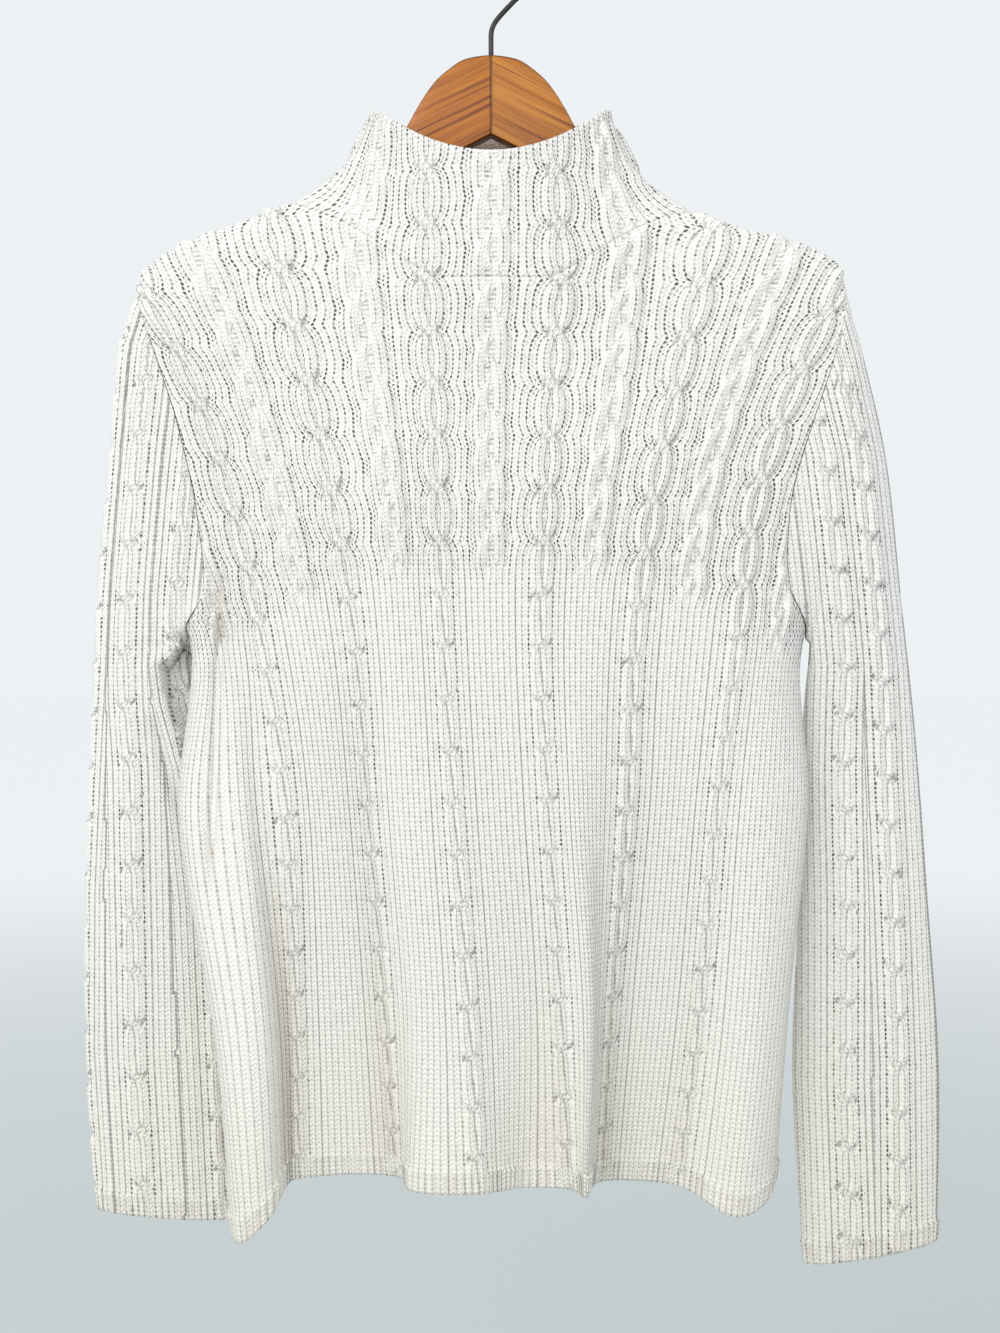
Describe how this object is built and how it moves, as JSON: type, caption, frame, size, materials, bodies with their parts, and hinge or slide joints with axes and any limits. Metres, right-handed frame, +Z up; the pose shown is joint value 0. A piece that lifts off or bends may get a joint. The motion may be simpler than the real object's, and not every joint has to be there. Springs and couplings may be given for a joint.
{
  "type": "cable knit sweater on a hanger",
  "caption": "Long-sleeved mock-neck pullover in thick cable knit, hanging in soft vertical folds on a chevron wooden hanger with a wire hook.",
  "frame": {"origin": "the point inside the hook's loop where a rail carries it", "axes": "+Z up, -Y out of the sweater's front, +X to the viewer's right, which is the wearer's left"},
  "size_m": [0.5461, 0.0883, 0.8414],
  "materials": {
    "knit": "soft matt wool knit",
    "wood": "glossy clear varnish",
    "hook": "dark smooth steel wire"
  },
  "bodies": {
    "root": {"front_panel": "knit", "back_panel": "knit", "sleeve_right": "knit", "sleeve_left": "knit", "collar": "knit", "hanger_arm_right": "wood", "hanger_arm_left": "wood", "hook": "hook"}
  },
  "joints": []
}
